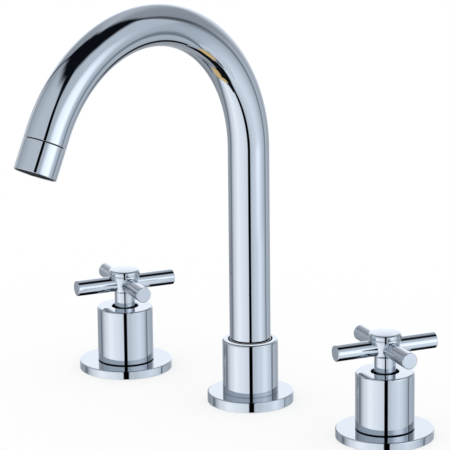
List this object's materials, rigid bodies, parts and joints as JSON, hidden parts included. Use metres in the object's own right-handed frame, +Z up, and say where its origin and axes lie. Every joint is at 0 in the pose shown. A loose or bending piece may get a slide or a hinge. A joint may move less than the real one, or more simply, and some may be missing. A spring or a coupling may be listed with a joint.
{
  "type": "widespread bathroom faucet",
  "caption": "Widespread basin faucet: high-arc tubular swivel spout with separate cross-handle hot and cold valves on round flanges, clamped through the deck by threaded shanks.",
  "frame": {"origin": "on the deck surface, under the middle of the spout's riser", "axes": "+X along the row towards the cold valve, -Y out towards the user as the spout points at rest, +Z up"},
  "size_m": [0.2632, 0.2102, 0.3398],
  "materials": {
    "polished_chrome": "mirror polished",
    "bare_brass": "machined, dull",
    "stainless_steel": "stamped",
    "black_rubber": "matte",
    "disc_ceramic": "lapped",
    "white_nylon": "moulded",
    "spray_plastic": "moulded"
  },
  "bodies": {
    "base": {"spout_collar": "polished_chrome", "spout_flange": "polished_chrome", "spout_gasket": "black_rubber", "spout_shank": "bare_brass", "swivel_glide_lower": "white_nylon", "swivel_glide_upper": "white_nylon", "swivel_o_ring_1": "black_rubber", "swivel_o_ring_2": "black_rubber", "spout_rubber_washer": "black_rubber", "spout_steel_washer": "stainless_steel", "spout_lock_nut": "bare_brass", "hot_flange": "polished_chrome", "hot_gasket": "black_rubber", "hot_bonnet": "polished_chrome", "hot_valve_body": "bare_brass", "hot_cartridge_barrel": "bare_brass", "hot_seat_seal": "black_rubber", "hot_fixed_disc": "disc_ceramic", "hot_rubber_washer": "black_rubber", "hot_steel_washer": "stainless_steel", "hot_lock_nut": "bare_brass", "cold_flange": "polished_chrome", "cold_gasket": "black_rubber", "cold_bonnet": "polished_chrome", "cold_valve_body": "bare_brass", "cold_cartridge_barrel": "bare_brass", "cold_seat_seal": "black_rubber", "cold_fixed_disc": "disc_ceramic", "cold_rubber_washer": "black_rubber", "cold_steel_washer": "stainless_steel", "cold_lock_nut": "bare_brass"},
    "spout": {"spout_tube": "polished_chrome", "spout_foot": "bare_brass", "aerator_housing": "polished_chrome", "aerator_washer": "black_rubber", "aerator_insert": "spray_plastic"},
    "hot_handle": {"hot_handle_hub": "polished_chrome", "hot_handle_bar_1": "polished_chrome", "hot_handle_bar_2": "polished_chrome", "hot_handle_bar_3": "polished_chrome", "hot_handle_bar_4": "polished_chrome", "hot_index_cap": "polished_chrome", "hot_handle_screw": "stainless_steel", "hot_valve_stem": "bare_brass", "hot_moving_disc": "disc_ceramic"},
    "cold_handle": {"cold_handle_hub": "polished_chrome", "cold_handle_bar_1": "polished_chrome", "cold_handle_bar_2": "polished_chrome", "cold_handle_bar_3": "polished_chrome", "cold_handle_bar_4": "polished_chrome", "cold_index_cap": "polished_chrome", "cold_handle_screw": "stainless_steel", "cold_valve_stem": "bare_brass", "cold_moving_disc": "disc_ceramic"}
  },
  "joints": [
    {"name": "hot_handle_turn", "type": "hinge", "parent": "base", "child": "hot_handle", "pos_m": [-0.1016, 0, 0.0525], "axis": [0, 0, 1], "range_deg": [0, 90]},
    {"name": "cold_handle_turn", "type": "hinge", "parent": "base", "child": "cold_handle", "pos_m": [0.1016, 0, 0.0525], "axis": [0, 0, 1], "range_deg": [-90, 0]},
    {"name": "spout_swivel", "type": "hinge", "parent": "base", "child": "spout", "pos_m": [0, 0, 0.0135], "axis": [0, 0, 1], "continuous": true}
  ]
}
